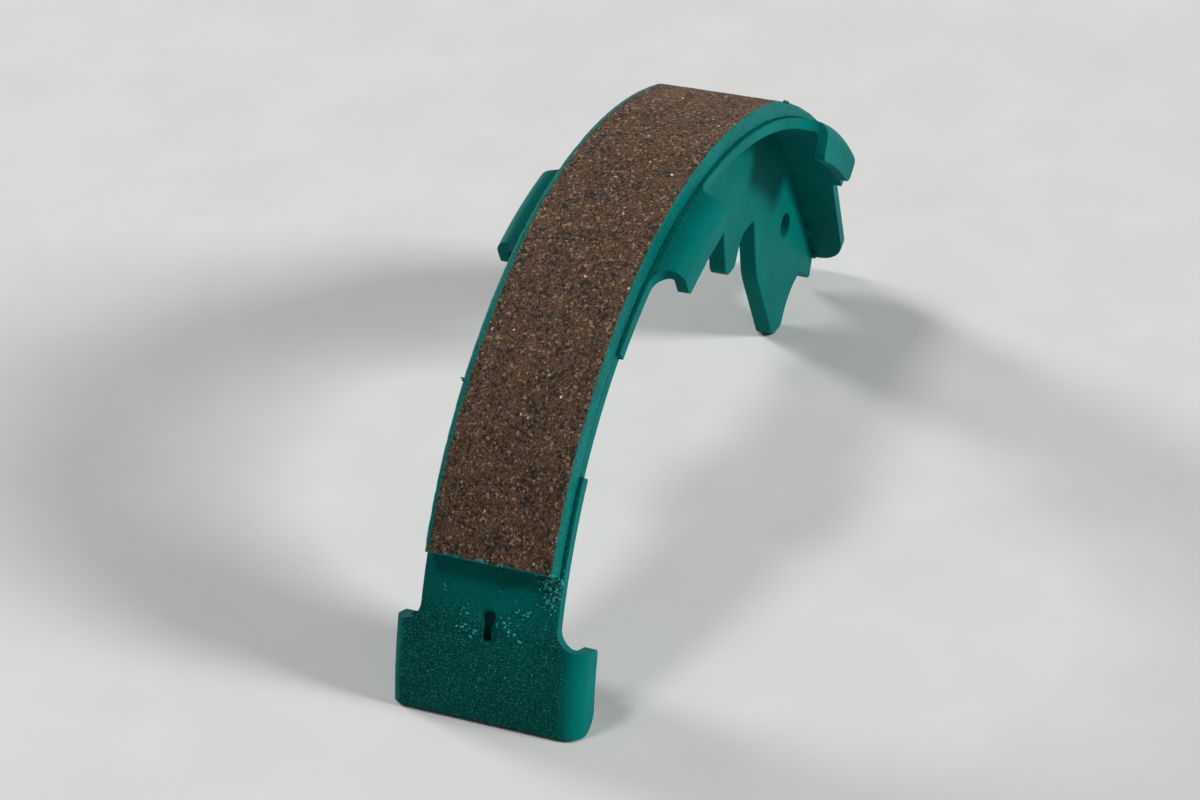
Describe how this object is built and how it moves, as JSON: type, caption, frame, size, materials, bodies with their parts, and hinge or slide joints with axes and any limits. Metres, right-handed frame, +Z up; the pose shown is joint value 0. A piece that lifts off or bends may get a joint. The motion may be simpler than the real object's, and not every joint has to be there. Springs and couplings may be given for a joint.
{
  "type": "brake shoe",
  "caption": "Curved drum brake shoe: pressed steel rim with turned-down tabs, bonded friction lining and a flat web with lug, leg and hole.",
  "frame": {"origin": "middle of the shoe's bounding box, on the ground that it stands on", "axes": "+X from the foot to the tongue, +Y along the drum's axis, +Z up"},
  "size_m": [0.1614, 0.0374, 0.0725],
  "materials": {
    "rim_paint": "satin",
    "web_paint": "satin",
    "friction_material": "matte"
  },
  "bodies": {
    "root": {"shoe_rim": "rim_paint", "web_plate": "web_paint", "friction_lining": "friction_material"}
  },
  "joints": []
}
